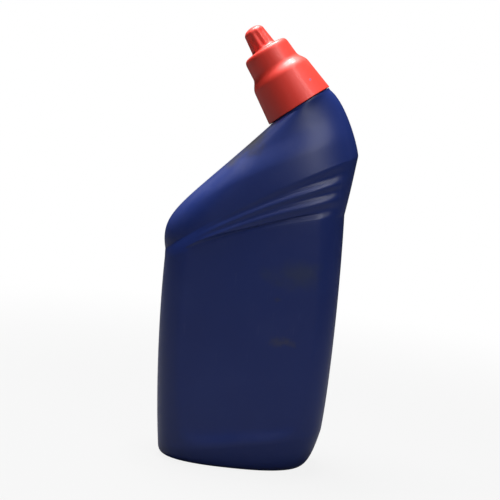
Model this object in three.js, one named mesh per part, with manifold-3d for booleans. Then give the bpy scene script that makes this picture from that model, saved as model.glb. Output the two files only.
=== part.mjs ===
// Toilet cleaner bottle: a blown bottle with label panels, a gilled waist and a bent shoulder, a dropper
// plug pressed into its neck, a liner ring and a fluted screw cap. Millimetres, +Z up. The front label
// panel faces -Y and the neck leans towards -X. The origin is under the middle of the body, on the floor.
import * as THREE from 'three';
import { mergeVertices } from 'three/addons/utils/BufferGeometryUtils.js';
import Module from 'manifold-3d';

// Body of the bottle
const BODY_WIDTH = 92.8; // left limb to elbow
const PANEL_DEPTH = 50; // front label panel to back label panel, at their middle
const PANEL_RADIUS = 200; // curve of a label panel across the body
const PANEL_EDGE = 1.2; // how softly a panel runs out into the side of the body
const PANEL_LIP = 0.06; // share of the body's height over which the panel steps out to the gills
const BOTTLE_WALL = 1.1;
const PUSH_UP = 3; // how far the middle of the base stands off the floor
const STANDING_RING = 4; // width of the flat ring that the bottle stands on
const PUSH_UP_SLOPE = 5; // width of the slope from the ring to the middle of the base
const PUSH_UP_EDGE = 0.92; // share of the height reached at the inner end of the slope

// Outline of the body as cubic curves, each point as inset from the overall width and height. The joints
// of the curves are the stations: foot, heel, panel top, gill top and neck.
const LEFT_OUTLINE = [
  [11.9, 0], // foot
  [8.3, 0], [7.2, 2],
  [6.9, 5], // heel
  [2.3, 39.5], [0.9, 78],
  [1.2, 100.4], // panel top
  [1.1, 102], [1.0, 103],
  [1.0, 104.5], // gill top
  [-3.9, 123.5], [7.3, 127.4],
];
const RIGHT_OUTLINE = [
  [14.4, 0], // foot
  [7.4, 0], [5.2, 12.9],
  [3.4, 21], // heel
  [1.7, 39.8], [1.4, 89.8],
  [3.7, 130.8], // panel top
  [1.5, 146], [1.4, 148.2],
  [0, 160.5], // gill top, the elbow
  [-0.1, 163.2], [8.2, 186.3],
];

// Half depth, squareness of the section's left and right end, and upward bow of the front and back,
// each as pairs of station and value
const HALF_DEPTH = [
  [0, 19.5], [0.35, 23], [1, 26], [1.5, 27.6], [2, 26.4], [3, 25.3], [3.35, 24.3], [3.7, 20.2], [4, 17.2],
];
const SQUARE_LEFT = [[0, 2.4], [1, 2.9], [1.5, 2.75], [1.8, 3.2], [2, 4], [3, 2.4], [4, 2]];
const SQUARE_RIGHT = [[0, 2.4], [1, 2.9], [1.5, 2.8], [2, 2.8], [3, 2.4], [4, 2]];
const BOW = [[0, 0], [1, 0], [2, 3.8], [3, 3.4], [4, 0]];

// Gills between panel top and gill top
const GILLS = 3;
const GILL_DEPTH = 1.5; // at the right, where they are deepest
const GILL_SPREAD = 0.8; // below 1 the gills grow wider from the panel up
const GILL_START = 0.2; // share of the width at which a gill begins, from the left
const GILL_GROWTH = 0.65; // share of the width over which it reaches its depth
const GILL_END = 0.965; // share of the width at which it is gone again
const GILL_RUN_OUT = 0.08; // share of the width over which it runs out

// Neck of the bottle, square to the leaning axis. Heights are above the ledge under the cap.
const NECK_LEAN = 38; // degrees from upright
const NECK_X = 14.45;
const NECK_Z = 182.4;
const LEDGE_RADIUS = 17.2;
const LEDGE_ROUND = 1.3; // drop of its rounded edge, at the right
const LEDGE_LEFT = 0.15; // share of that drop that is left at the left, where the shoulder meets the cap
const NECK_RADIUS = 12.6;
const NECK_BORE = 10.9;
const NECK_HEIGHT = 15.5;
const NECK_CHAMFER = 0.5;

// Screw thread: one right-hand start on the neck and one in the cap
const PITCH = 4;
const THREAD_TURNS = 1.25;
const THREAD_HEIGHT = 1.1;
const THREAD_BASE = 2.2; // axial width where it meets the wall
const THREAD_CREST = 1; // axial width at its crest
const THREAD_START = 4.6; // height of the neck thread's lower end above the ledge
const THREAD_CLEARANCE = 0.4; // radial, crest to facing wall
const THREAD_RUN_OUT = 0.1; // turns over which an end fades into the wall

// Seats
const SEAT_GAP = 0.3; // between pieces that rest on each other
const LEDGE_GAP = 0.5; // from the ledge to the cap's lower edge

// Dropper plug
const PLUG_WALL = 1;
const PLUG_LENGTH = 7;
const PLUG_FLANGE = 1.2;
const SPOUT_RADIUS = 7.6; // outside, where the spout leaves the flange
const SPOUT_WAIST_RADIUS = 3.9; // outside, where it enters the cap's tip
const SPOUT_TIP_RADIUS = 2.6;
const SPOUT_FOOT_TAPER = 0.86; // share of its radius that the spout keeps just above the flange
const OUTLET_RADIUS = 1;

// Liner ring
const LINER_THICKNESS = 1;

// Cap, heights above its lower edge
const SKIRT_RADIUS = 17.7; // at the lower edge
const SKIRT_TOP_RADIUS = 15.65;
const SKIRT_HEIGHT = 16.2;
const SKIRT_WALL = 1.3;
const SLEEVE_WALL = 1.2; // threaded sleeve inside the skirt
const SLEEVE_RISE = 2.5; // the sleeve ends this far above the skirt's lower edge
const SKIRT_POCKET_END = 3.5; // the pocket between sleeve and skirt ends this far below the skirt's top
const COLLAR_RADIUS = 12.6; // middle step of the cap, at its foot
const COLLAR_TOP_RADIUS = 12;
const COLLAR_BASE = 22.8;
const COLLAR_HEIGHT = 33;
const COLLAR_ROUND = 2.6;
const TIP_RADIUS = 6.5;
const TIP_TOP_RADIUS = 5.4;
const TIP_DOME_BASE = 41.4;
const CAP_HEIGHT = 45.2;
const CAP_WALL = 1.3;
const FLUTES = 10;
const FLUTE_DEPTH = 0.45;
const RIB_ANGLE = -68.5; // degrees, one rib between two flutes

// Facets round each piece
const BOTTLE_COLUMNS = 44;
const CAP_COLUMNS = 40;
const PLUG_COLUMNS = 32;

const TURN = 2 * Math.PI;
const EPSILON = 1e-6;
const lean = THREE.MathUtils.degToRad(NECK_LEAN);
const neckAxis = new THREE.Vector3(-Math.sin(lean), 0, Math.cos(lean));
const neckSide = new THREE.Vector3(Math.cos(lean), 0, Math.sin(lean));
const ledgeCentre = new THREE.Vector3(NECK_X, 0, NECK_Z);
const boreWallInside = NECK_RADIUS + THREAD_HEIGHT + THREAD_CLEARANCE; // threaded wall of the cap

// A point on the neck at a radius, an angle about its axis and a height above the ledge
function neckPoint(radius, angle, height) {
  return ledgeCentre.clone()
    .addScaledVector(neckSide, radius * Math.cos(angle))
    .addScaledVector(neckAxis, height)
    .add(new THREE.Vector3(0, radius * Math.sin(angle), 0));
}

// Share of the ledge's drop at an angle about the neck's axis, 1 at the right
function ledgeShare(angle) {
  return LEDGE_LEFT + (1 - LEDGE_LEFT) * (1 + Math.cos(angle)) / 2;
}

// The four cubic curves of an outline, closed at the neck's rounded ledge
function outlineCurves(outline, side) {
  const edge = side * BODY_WIDTH / 2;
  const points = outline.map(([inset, z]) => new THREE.Vector2(edge - side * inset, z));
  const last = neckPoint(side * LEDGE_RADIUS, 0, -LEDGE_ROUND * ledgeShare(side < 0 ? Math.PI : 0));
  points.push(new THREE.Vector2(last.x, last.z));
  const curves = [];
  for (let i = 0; i + 3 < points.length; i += 3) {
    curves.push(new THREE.CubicBezierCurve(...points.slice(i, i + 4)));
  }
  return curves;
}

const leftCurves = outlineCurves(LEFT_OUTLINE, -1);
const rightCurves = outlineCurves(RIGHT_OUTLINE, 1);

// A point of an outline at a station number such as 2.5
function outlinePoint(curves, station) {
  const index = Math.min(Math.floor(station), curves.length - 1);
  return curves[index].getPoint(station - index);
}

// Value at a station from pairs of station and value, rising and falling smoothly with no overshoot
function valueAt(pairs, station) {
  const slopes = pairs.slice(1).map(([s, v], i) => (v - pairs[i][1]) / (s - pairs[i][0]));
  const tangent = (i) => {
    const before = slopes[Math.max(i - 1, 0)];
    const after = slopes[Math.min(i, slopes.length - 1)];
    return before * after > 0 ? 2 * before * after / (before + after) : 0;
  };
  let i = 0;
  while (i < pairs.length - 2 && station >= pairs[i + 1][0]) i += 1;
  const [s0, v0] = pairs[i];
  const [s1, v1] = pairs[i + 1];
  const span = s1 - s0;
  const t = (station - s0) / span;
  const rise = t * t * (3 - 2 * t);
  return v0 + (v1 - v0) * rise
    + span * (t * (1 - t) ** 2 * tangent(i) - t * t * (1 - t) * tangent(i + 1));
}

// The smaller of two values, rounded over where they cross
function softMin(a, b, round) {
  const h = THREE.MathUtils.clamp(0.5 + 0.5 * (b - a) / round, 0, 1);
  return b * (1 - h) + a * h - round * h * (1 - h);
}

// Outer skin of the body at a station and an angle round it: a squared ellipse hung between the left and
// right outlines, bowed upwards at the front and back, cut by the two label panels below the gills and
// pressed in by the gills above them
function bodyPoint(station, angle) {
  const left = outlinePoint(leftCurves, station);
  const right = outlinePoint(rightCurves, station);
  const middle = left.clone().add(right).multiplyScalar(0.5);
  const across = right.clone().sub(left).multiplyScalar(0.5);
  const halfWidth = across.length();
  across.normalize();
  const cosine = Math.cos(angle);
  const sine = Math.sin(angle);
  const square = valueAt(cosine < 0 ? SQUARE_LEFT : SQUARE_RIGHT, station);
  const radius = (Math.abs(cosine) ** square + Math.abs(sine) ** square) ** (-1 / square);
  const x = radius * cosine;
  const y = Math.abs(radius * sine);
  let depth = y * valueAt(HALF_DEPTH, station);

  const panelIn = THREE.MathUtils.smoothstep(station, 0.75, 1.1);
  const panelOut = THREE.MathUtils.clamp((2 - station) / PANEL_LIP, 0, 1);
  const panel = PANEL_DEPTH / 2 - (x * halfWidth) ** 2 / (2 * PANEL_RADIUS);
  const clear = PANEL_DEPTH / 4; // where the panel has run out it lies outside the skin
  depth = softMin(depth, panel + clear * (1 - panelIn * panelOut), PANEL_EDGE);

  const fromLeft = (x + 1) / 2;
  const front = Math.min(4 * y, 1);
  if (station > 2 && station < 3) {
    const wave = (1 - Math.cos(TURN * GILLS * (station - 2) ** GILL_SPREAD)) / 2;
    const deepen = THREE.MathUtils.clamp((fromLeft - GILL_START) / GILL_GROWTH, 0, 1);
    const runOut = THREE.MathUtils.clamp((GILL_END - fromLeft) / GILL_RUN_OUT, 0, 1);
    depth -= GILL_DEPTH * wave * deepen * runOut * front;
  }
  const bow = valueAt(BOW, station) * 4 * fromLeft * (1 - fromLeft) * Math.min(1.5 * y, 1);
  return new THREE.Vector3(
    middle.x + x * halfWidth * across.x - bow * across.y,
    Math.sign(sine) * depth,
    middle.y + x * halfWidth * across.y + bow * across.x,
  );
}

// Inner skin: the outer one moved in by the wall, square to the surface
function insidePoint(station, angle) {
  const step = 0.004;
  const up = bodyPoint(Math.min(station + step, 4 - EPSILON), angle)
    .sub(bodyPoint(station - step, angle));
  const round = bodyPoint(station, angle + step).sub(bodyPoint(station, angle - step));
  const normal = round.cross(up).normalize();
  return bodyPoint(station, angle).addScaledVector(normal, -BOTTLE_WALL);
}

// Closed body from rings of equally many points, with one point closing each end
function skin(rings, firstPoint, lastPoint) {
  const columns = rings[0].length;
  const points = [firstPoint, ...rings.flat(), lastPoint];
  const last = points.length - 1;
  const at = (ring, column) => 1 + ring * columns + (column % columns);
  const index = [];
  for (let j = 0; j < columns; j += 1) {
    index.push(0, at(0, j + 1), at(0, j));
    for (let i = 0; i + 1 < rings.length; i += 1) {
      index.push(at(i, j), at(i, j + 1), at(i + 1, j + 1), at(i, j), at(i + 1, j + 1), at(i + 1, j));
    }
    index.push(last, at(rings.length - 1, j), at(rings.length - 1, j + 1));
  }
  const geometry = new THREE.BufferGeometry().setFromPoints(points);
  geometry.setIndex(index);
  return geometry;
}

// Full ring of angles
function angles(columns, start = 0) {
  return Array.from({ length: columns }, (_, j) => start + TURN * j / columns);
}

// Geometry turned inside out
function flipped(geometry) {
  const index = Array.from(geometry.index.array);
  for (let i = 0; i < index.length; i += 3) [index[i], index[i + 1]] = [index[i + 1], index[i]];
  return geometry.setIndex(index);
}

// Signed volume of a closed indexed geometry
function volumeOf(geometry) {
  const position = geometry.attributes.position;
  const [a, b, c] = [new THREE.Vector3(), new THREE.Vector3(), new THREE.Vector3()];
  let volume = 0;
  for (let i = 0; i < geometry.index.count; i += 3) {
    a.fromBufferAttribute(position, geometry.index.getX(i));
    b.fromBufferAttribute(position, geometry.index.getX(i + 1));
    c.fromBufferAttribute(position, geometry.index.getX(i + 2));
    volume += a.dot(b.cross(c)) / 6;
  }
  return volume;
}

// Geometry with its faces pointing out
function outward(geometry) {
  return volumeOf(geometry) < 0 ? flipped(geometry) : geometry;
}

const wasm = await Module();
wasm.setup();

function toSolid(geometry) {
  const plain = geometry.clone();
  plain.deleteAttribute('normal');
  plain.deleteAttribute('uv');
  const merged = mergeVertices(plain, 1e-5);
  return new wasm.Manifold(new wasm.Mesh({
    numProp: 3,
    vertProperties: new Float32Array(merged.attributes.position.array),
    triVerts: new Uint32Array(merged.index.array),
  }));
}

function toGeometry(solid) {
  const mesh = solid.getMesh();
  const geometry = new THREE.BufferGeometry();
  geometry.setAttribute('position', new THREE.BufferAttribute(mesh.vertProperties, 3));
  geometry.setIndex(new THREE.BufferAttribute(mesh.triVerts, 1));
  return geometry;
}

// Two closed geometries joined into one
function joined(first, second) {
  return toGeometry(toSolid(first).add(toSolid(second)));
}

// One thread ridge standing on a wall, outwards on the neck and inwards in the cap. It starts at a height
// and rises counter-clockwise, and both its ends fade into the wall.
function threadRidge(wallRadius, outwards, startHeight, columns) {
  const sunk = 0.35; // how far the ridge reaches into the wall it stands on
  const steps = Math.round(THREAD_TURNS * columns);
  const rings = [];
  for (let i = 0; i <= steps; i += 1) {
    const turns = i / columns;
    const angle = TURN * turns;
    const fade = Math.min(1, turns / THREAD_RUN_OUT, (THREAD_TURNS - turns) / THREAD_RUN_OUT);
    const rise = THREAD_HEIGHT * THREE.MathUtils.lerp(0.08, 1, fade);
    const middle = startHeight + PITCH * turns;
    const section = [
      [-sunk, -THREAD_BASE / 2],
      [0, -THREAD_BASE / 2],
      [rise, -THREAD_CREST / 2],
      [rise, THREAD_CREST / 2],
      [0, THREAD_BASE / 2],
      [-sunk, THREAD_BASE / 2],
    ];
    rings.push(section.map(([stand, up]) => {
      const radius = wallRadius + (outwards ? stand : -stand);
      return new THREE.Vector3(radius * Math.cos(angle), radius * Math.sin(angle), middle + up);
    }));
  }
  const centre = (ring) => {
    const sum = new THREE.Vector3();
    for (const point of ring) sum.add(point);
    return sum.divideScalar(ring.length);
  };
  return outward(skin(rings, centre(rings[0]), centre(rings[rings.length - 1])));
}

// Stations of the rings from the foot to the neck, closer where the form turns quickly
function bodyStations() {
  const foot = [0, 0.25, 0.5, 0.75, 1];
  const body = [1.15, 1.3, 1.45, 1.6, 1.75, 1.88, 2 - PANEL_LIP, 2];
  const gills = [];
  const perGill = 6;
  for (let k = 1; k <= GILLS * perGill; k += 1) {
    gills.push(2 + (k / (GILLS * perGill)) ** (1 / GILL_SPREAD));
  }
  const shoulder = [0.06, 0.14, 0.22, 0.31, 0.4, 0.5, 0.6, 0.7, 0.8, 0.9, 1].map((t) => 3 + t);
  return [...foot, ...body, ...gills, ...shoulder];
}

// Rings of the base, from the standing ring's outer edge inwards, as share of width, inset and height
function baseRing(round, inset, height) {
  return round.map((angle) => {
    const edge = bodyPoint(0, angle);
    const middle = bodyPoint(0, 0).add(bodyPoint(0, Math.PI)).multiplyScalar(0.5);
    const fromMiddle = edge.clone().sub(middle);
    const reach = fromMiddle.length();
    return middle.clone().addScaledVector(fromMiddle, (reach - inset) / reach).setZ(height);
  });
}

function bottleGeometry() {
  const round = angles(BOTTLE_COLUMNS);
  const ringAt = (radius, height) => round.map((angle) => neckPoint(radius, angle, height));
  const inner = STANDING_RING + PUSH_UP_SLOPE;
  const rings = [
    baseRing(round, inner, PUSH_UP * PUSH_UP_EDGE),
    baseRing(round, STANDING_RING + PUSH_UP_SLOPE * 0.4, PUSH_UP * 0.5),
    baseRing(round, STANDING_RING, 0),
  ];
  for (const station of bodyStations()) rings.push(round.map((angle) => bodyPoint(station, angle)));
  const turnedIn = LEDGE_ROUND * 0.3;
  rings.push(
    round.map((angle) => neckPoint(LEDGE_RADIUS - turnedIn, angle, -turnedIn * ledgeShare(angle))),
    ringAt(LEDGE_RADIUS - LEDGE_ROUND, 0),
    ringAt(NECK_RADIUS + NECK_CHAMFER, 0),
    ringAt(NECK_RADIUS, NECK_CHAMFER),
    ringAt(NECK_RADIUS, NECK_HEIGHT - NECK_CHAMFER),
    ringAt(NECK_RADIUS - NECK_CHAMFER, NECK_HEIGHT),
    ringAt(NECK_BORE + NECK_CHAMFER / 2, NECK_HEIGHT),
    ringAt(NECK_BORE, NECK_HEIGHT - NECK_CHAMFER / 2),
    ringAt(NECK_BORE, -BOTTLE_WALL),
  );
  const insideShoulder = [3.98, 3.85, 3.7, 3.5, 3.3, 3.1, 3];
  const insideGills = [];
  for (let k = 2 * GILLS - 1; k >= 0; k -= 1) insideGills.push(2 + (k / (2 * GILLS)) ** (1 / GILL_SPREAD));
  const insideBody = [1.9, 1.7, 1.5, 1.3, 1.1, 0.8, 0.5, 0.3];
  for (const station of [...insideShoulder, ...insideGills, ...insideBody]) {
    rings.push(round.map((angle) => insidePoint(station, angle)));
  }
  rings.push(
    baseRing(round, STANDING_RING * 0.4, BOTTLE_WALL),
    baseRing(round, STANDING_RING + PUSH_UP_SLOPE * 0.4, BOTTLE_WALL + PUSH_UP * 0.5),
    baseRing(round, inner, BOTTLE_WALL + PUSH_UP * PUSH_UP_EDGE),
  );
  const middle = bodyPoint(0, 0).add(bodyPoint(0, Math.PI)).multiplyScalar(0.5);
  const body = outward(skin(rings, middle.clone().setZ(PUSH_UP), middle.clone().setZ(PUSH_UP + BOTTLE_WALL)));
  const ridge = threadRidge(NECK_RADIUS, true, THREAD_START, CAP_COLUMNS);
  ridge.applyMatrix4(new THREE.Matrix4()
    .makeBasis(neckSide, new THREE.Vector3(0, 1, 0), neckAxis)
    .setPosition(ledgeCentre));
  return joined(body, ridge);
}

// A profile of [radius, height] points turned about the upright axis, closed at the axis or on itself
function turned(profile, columns) {
  const points = profile.map(([radius, height]) => new THREE.Vector2(radius, height));
  const geometry = new THREE.LatheGeometry(points, columns).rotateX(Math.PI / 2);
  geometry.deleteAttribute('normal');
  geometry.deleteAttribute('uv');
  const merged = mergeVertices(geometry, 1e-4);
  const index = [];
  for (let i = 0; i < merged.index.count; i += 3) {
    const corners = [0, 1, 2].map((k) => merged.index.getX(i + k));
    if (new Set(corners).size === 3) index.push(...corners);
  }
  return outward(merged.setIndex(index));
}

// Heights in the neck's frame that the plug, the liner and the cap share
const flangeBottom = NECK_HEIGHT + SEAT_GAP;
const flangeTop = flangeBottom + PLUG_FLANGE;
const linerBottom = flangeTop + SEAT_GAP;
const linerTop = linerBottom + LINER_THICKNESS;
const shelfHeight = linerTop + SEAT_GAP; // shelf in the cap that presses on the liner
const capFoot = LEDGE_GAP;
const shelfInside = COLLAR_TOP_RADIUS - CAP_WALL;

// Dropper plug: skirt in the bore, flange on the rim and a hollow spout with a small outlet
function plugGeometry() {
  const skirtOutside = NECK_BORE - SEAT_GAP;
  const skirtInside = skirtOutside - PLUG_WALL;
  const skirtFoot = flangeBottom - PLUG_LENGTH;
  const waist = capFoot + COLLAR_HEIGHT - 1;
  const tip = capFoot + CAP_HEIGHT - CAP_WALL - 1.4;
  const spoutInside = SPOUT_RADIUS - PLUG_WALL;
  return turned([
    [skirtInside, skirtFoot],
    [skirtOutside - PLUG_WALL / 2, skirtFoot],
    [skirtOutside, skirtFoot + 1],
    [skirtOutside, flangeBottom],
    [NECK_RADIUS, flangeBottom],
    [NECK_RADIUS, flangeTop],
    [SPOUT_RADIUS, flangeTop],
    [SPOUT_RADIUS * SPOUT_FOOT_TAPER, flangeTop + 1.6],
    [(SPOUT_RADIUS + SPOUT_WAIST_RADIUS) / 2, (flangeTop + waist) / 2],
    [SPOUT_WAIST_RADIUS, waist],
    [SPOUT_TIP_RADIUS, tip - 0.6],
    [SPOUT_TIP_RADIUS - 0.6, tip],
    [OUTLET_RADIUS, tip],
    [OUTLET_RADIUS, tip - 3],
    [SPOUT_WAIST_RADIUS - PLUG_WALL, waist],
    [(SPOUT_RADIUS + SPOUT_WAIST_RADIUS) / 2 - PLUG_WALL, (flangeTop + waist) / 2 - 0.5],
    [spoutInside, flangeTop],
    [skirtInside, flangeBottom],
    [skirtInside, skirtFoot],
  ], PLUG_COLUMNS);
}

function linerGeometry() {
  const inside = shelfInside + SEAT_GAP;
  const outside = boreWallInside - SEAT_GAP;
  return turned([
    [inside, linerBottom],
    [outside, linerBottom],
    [outside, linerTop],
    [inside, linerTop],
    [inside, linerBottom],
  ], PLUG_COLUMNS);
}

// Outside of the cap from its crown down to the lower edge, heights above that edge
function capOutside() {
  const path = new THREE.Path();
  path.moveTo(TIP_TOP_RADIUS * 0.3, CAP_HEIGHT - 0.2);
  path.bezierCurveTo(
    TIP_TOP_RADIUS * 0.72, CAP_HEIGHT - 0.4,
    TIP_TOP_RADIUS, (CAP_HEIGHT + TIP_DOME_BASE) / 2,
    TIP_TOP_RADIUS, TIP_DOME_BASE,
  );
  path.lineTo(THREE.MathUtils.lerp(TIP_TOP_RADIUS, TIP_RADIUS, 0.12), TIP_DOME_BASE - 1.2);
  path.lineTo(THREE.MathUtils.lerp(TIP_TOP_RADIUS, TIP_RADIUS, 0.85), COLLAR_HEIGHT + 2.2);
  path.quadraticCurveTo(TIP_RADIUS, COLLAR_HEIGHT + 0.4, TIP_RADIUS + 1, COLLAR_HEIGHT);
  path.lineTo(COLLAR_TOP_RADIUS - COLLAR_ROUND, COLLAR_HEIGHT - 0.3);
  path.quadraticCurveTo(
    COLLAR_TOP_RADIUS, COLLAR_HEIGHT - 0.6,
    COLLAR_TOP_RADIUS + 0.1, COLLAR_HEIGHT - COLLAR_ROUND - 1,
  );
  path.lineTo(COLLAR_RADIUS, COLLAR_BASE);
  path.bezierCurveTo(
    COLLAR_RADIUS + 0.4, COLLAR_BASE - 2.4,
    SKIRT_TOP_RADIUS - 0.3, SKIRT_HEIGHT + 3,
    SKIRT_TOP_RADIUS, SKIRT_HEIGHT,
  );
  path.lineTo(THREE.MathUtils.lerp(SKIRT_RADIUS, SKIRT_TOP_RADIUS, 0.5), SKIRT_HEIGHT / 2);
  path.lineTo(SKIRT_RADIUS, 0.4);
  path.lineTo(SKIRT_RADIUS - 0.4, 0);
  return path.getPoints(4);
}

// How strongly a flute shows at a height: full along the tip, faded under the dome and at the collar
function fluteAt(height) {
  const low = THREE.MathUtils.smoothstep(height, COLLAR_HEIGHT, COLLAR_HEIGHT + 2);
  const high = THREE.MathUtils.smoothstep(height, TIP_DOME_BASE - 1.4, TIP_DOME_BASE + 2.4);
  return low * (1 - high);
}

function capGeometry() {
  const round = angles(CAP_COLUMNS, THREE.MathUtils.degToRad(RIB_ANGLE));
  const rings = [];
  for (const point of capOutside()) {
    const flute = FLUTE_DEPTH * fluteAt(point.y);
    rings.push(round.map((angle, j) => {
      const wave = (1 - Math.cos(TURN * FLUTES * j / CAP_COLUMNS)) / 2;
      const radius = point.x - flute * wave;
      return new THREE.Vector3(radius * Math.cos(angle), radius * Math.sin(angle), capFoot + point.y);
    }));
  }
  const pocketTop = capFoot + SKIRT_HEIGHT - SKIRT_POCKET_END;
  const sleeveOutside = boreWallInside + SLEEVE_WALL;
  const skirtInsideTop = Math.max(SKIRT_TOP_RADIUS - SKIRT_WALL * 0.7, sleeveOutside + 0.3);
  const collarTop = capFoot + COLLAR_HEIGHT - CAP_WALL;
  const crown = capFoot + CAP_HEIGHT - CAP_WALL;
  const inside = [
    [SKIRT_RADIUS - SKIRT_WALL, capFoot],
    [skirtInsideTop + 0.3, pocketTop],
    [sleeveOutside, pocketTop],
    [sleeveOutside, capFoot + SLEEVE_RISE],
    [boreWallInside, capFoot + SLEEVE_RISE],
    [boreWallInside, shelfHeight],
    [shelfInside, shelfHeight],
    [shelfInside, collarTop - 0.8],
    [shelfInside - 0.8, collarTop],
    [TIP_RADIUS - CAP_WALL, collarTop],
    [TIP_RADIUS - CAP_WALL - 0.2, COLLAR_HEIGHT + 1.5],
    [TIP_TOP_RADIUS - CAP_WALL, capFoot + TIP_DOME_BASE - 0.4],
    [(TIP_TOP_RADIUS - CAP_WALL) * 0.6, crown - 0.6],
  ];
  for (const [radius, height] of inside) {
    rings.push(round.map((angle) => {
      return new THREE.Vector3(radius * Math.cos(angle), radius * Math.sin(angle), height);
    }));
  }
  const shell = outward(skin(
    rings,
    new THREE.Vector3(0, 0, capFoot + CAP_HEIGHT),
    new THREE.Vector3(0, 0, crown),
  ));
  const ridge = threadRidge(boreWallInside, false, THREAD_START - PITCH / 2, CAP_COLUMNS);
  return joined(shell, ridge);
}

function piece(name, geometry, colour, roughness) {
  const material = new THREE.MeshStandardMaterial({ color: colour, roughness, metalness: 0 });
  const mesh = new THREE.Mesh(geometry, material);
  mesh.name = name;
  return mesh;
}

const bottle = piece('bottle', bottleGeometry(), 0x1a2452, 0.35);
const plug = piece('nozzle_insert', plugGeometry(), 0xe9ebe6, 0.5);
const liner = piece('liner_ring', linerGeometry(), 0xf4f3ee, 0.9);
const cap = piece('cap', capGeometry(), 0xc8352c, 0.4);

const onNeck = new THREE.Group();
onNeck.position.copy(ledgeCentre);
onNeck.rotation.y = -lean;
onNeck.add(plug, liner, cap);

const toiletCleanerBottle = new THREE.Group();
toiletCleanerBottle.add(bottle, onNeck);

export default toiletCleanerBottle;
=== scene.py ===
"""Toilet cleaner bottle: a blown bottle with label panels, a gilled waist and a bent neck, its dropper plug,
liner ring and fluted screw cap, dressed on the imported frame. Shape sizes are millimetres and are scaled to
metres as a mesh is made."""
import logging
import math
from dataclasses import dataclass, field
from enum import Enum, IntEnum
from typing import Protocol

import bpy
import numpy as np
from mathutils import Matrix, Vector


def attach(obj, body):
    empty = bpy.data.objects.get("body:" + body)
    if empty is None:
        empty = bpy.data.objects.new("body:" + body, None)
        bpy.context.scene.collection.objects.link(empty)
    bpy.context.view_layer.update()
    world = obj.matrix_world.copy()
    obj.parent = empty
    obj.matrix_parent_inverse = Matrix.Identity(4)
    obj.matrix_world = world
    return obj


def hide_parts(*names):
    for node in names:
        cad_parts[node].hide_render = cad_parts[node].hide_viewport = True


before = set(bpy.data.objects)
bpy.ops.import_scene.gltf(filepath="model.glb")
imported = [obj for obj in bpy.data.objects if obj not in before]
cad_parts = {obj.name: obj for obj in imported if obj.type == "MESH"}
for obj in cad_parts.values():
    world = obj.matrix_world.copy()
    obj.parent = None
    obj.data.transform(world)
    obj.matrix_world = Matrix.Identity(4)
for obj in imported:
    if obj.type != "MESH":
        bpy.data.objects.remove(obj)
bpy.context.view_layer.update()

MM = 0.001
TURN = 2 * math.pi
LOG = logging.getLogger("toilet_cleaner_bottle")

CORNER_SHARE = 0.49  # the most of a side that the rounding of a corner takes

Array = np.ndarray
Pairs = list[tuple[float, float]]
Piece = bpy.types.Object
NodeSocket = bpy.types.NodeSocket


class Socket(Enum):
    """Kinds of socket that the shader groups have."""

    FLOAT = "NodeSocketFloat"
    VECTOR = "NodeSocketVector"


class Side(IntEnum):
    """The bottle's two outlines, as the sign of x."""

    LEFT = -1
    RIGHT = 1


class Station(IntEnum):
    """Places up the bottle's body. Between two of them each outline is one curve."""

    FOOT = 0
    HEEL = 1
    PANEL_TOP = 2
    GILL_TOP = 3
    NECK = 4


def srgb(red: int, green: int, blue: int) -> tuple[float, float, float, float]:
    """Linear colour of a screen colour.

    Args:
        red: red byte.
        green: green byte.
        blue: blue byte.

    Returns:
        Linear red, green and blue, and alpha 1.
    """
    parts = np.array([red, green, blue]) / 255
    linear = np.where(parts <= 0.04045, parts / 12.92, ((parts + 0.055) / 1.055) ** 2.4)
    return (*linear.tolist(), 1.0)


def smooth(value: Array, low: float, high: float) -> Array:
    """Smooth step: 0 below low, 1 above high, and 3t^2 - 2t^3 between."""
    t = np.clip((value - low) / (high - low), 0, 1)
    return t * t * (3 - 2 * t)


def value_at(pairs: Pairs, where: Array) -> Array:
    """Smooth curve through pairs of place and value, with no overshoot.

    Between two places it is the cubic Hermite curve whose tangents are the harmonic means of the slopes on
    both sides, and flat where the slope changes sign.

    Args:
        pairs: places and values, rising in place.
        where: places to read.

    Returns:
        The values there, in the shape of where.
    """
    places, values = np.array(pairs).T
    slopes = np.diff(values) / np.diff(places)
    before = np.concatenate([slopes[:1], slopes])
    after = np.concatenate([slopes, slopes[-1:]])
    product = before * after
    tangents = np.where(product > 0, 2 * product / np.where(product > 0, before + after, 1), 0)
    i = np.clip(np.searchsorted(places, where, side="right") - 1, 0, len(places) - 2)
    span = places[i + 1] - places[i]
    t = (where - places[i]) / span
    rise = t * t * (3 - 2 * t)
    ends = t * (1 - t) ** 2 * tangents[i] - t * t * (1 - t) * tangents[i + 1]
    return values[i] + (values[i + 1] - values[i]) * rise + span * ends


def soft_min(first: Array, second: Array, rounding: float) -> Array:
    """The smaller of two arrays, rounded over within the rounding where they cross."""
    h = np.clip(0.5 + 0.5 * (second - first) / rounding, 0, 1)
    return second * (1 - h) + first * h - rounding * h * (1 - h)


def cubic(points: Array, t: Array) -> Array:
    """Points of a cubic curve: its four control points weighted by (1-t)^3, 3t(1-t)^2, 3t^2(1-t) and t^3.

    Args:
        points: the control points, one row each.
        t: places along the curve, from 0 to 1.

    Returns:
        Array of points, one row for each place.
    """
    t = t[:, None]
    near, far = points[0] * (1 - t) ** 3 + points[3] * t**3, points[1] * (1 - t) + points[2] * t
    return near + 3 * t * (1 - t) * far


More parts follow.
